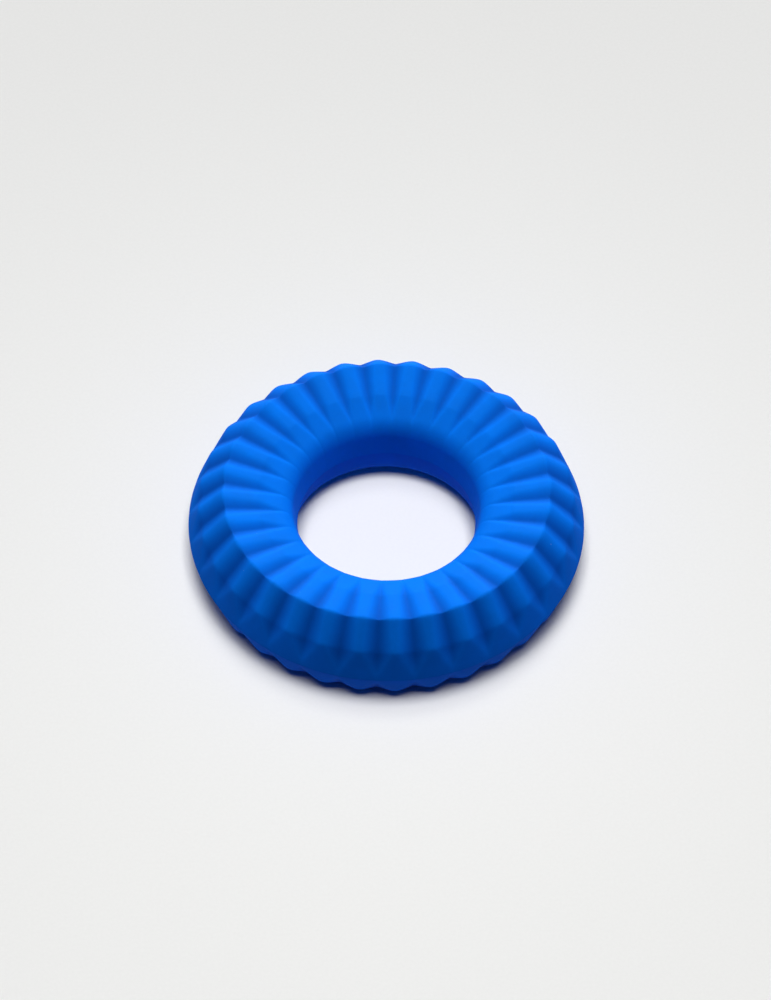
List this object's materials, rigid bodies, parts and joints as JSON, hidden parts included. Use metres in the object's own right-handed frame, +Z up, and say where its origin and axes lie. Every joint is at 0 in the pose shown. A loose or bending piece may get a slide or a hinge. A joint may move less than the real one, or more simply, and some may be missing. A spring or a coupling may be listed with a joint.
{
  "type": "ribbed friction ring",
  "caption": "Soft silicone rubber ring with V-shaped flutes and rounded ribs across its upper and lower faces, pressed onto a screw-back watch case to grip and unscrew it.",
  "frame": {"origin": "centre of the lower face, on the surface that the ring lies on", "axes": "+Z up along the ring's axis, +X through the middle of one rib"},
  "size_m": [0.05, 0.05, 0.0138],
  "materials": {
    "silicone": "matte moulded silicone rubber"
  },
  "bodies": {
    "root": {"ring_body": "silicone"}
  },
  "joints": []
}
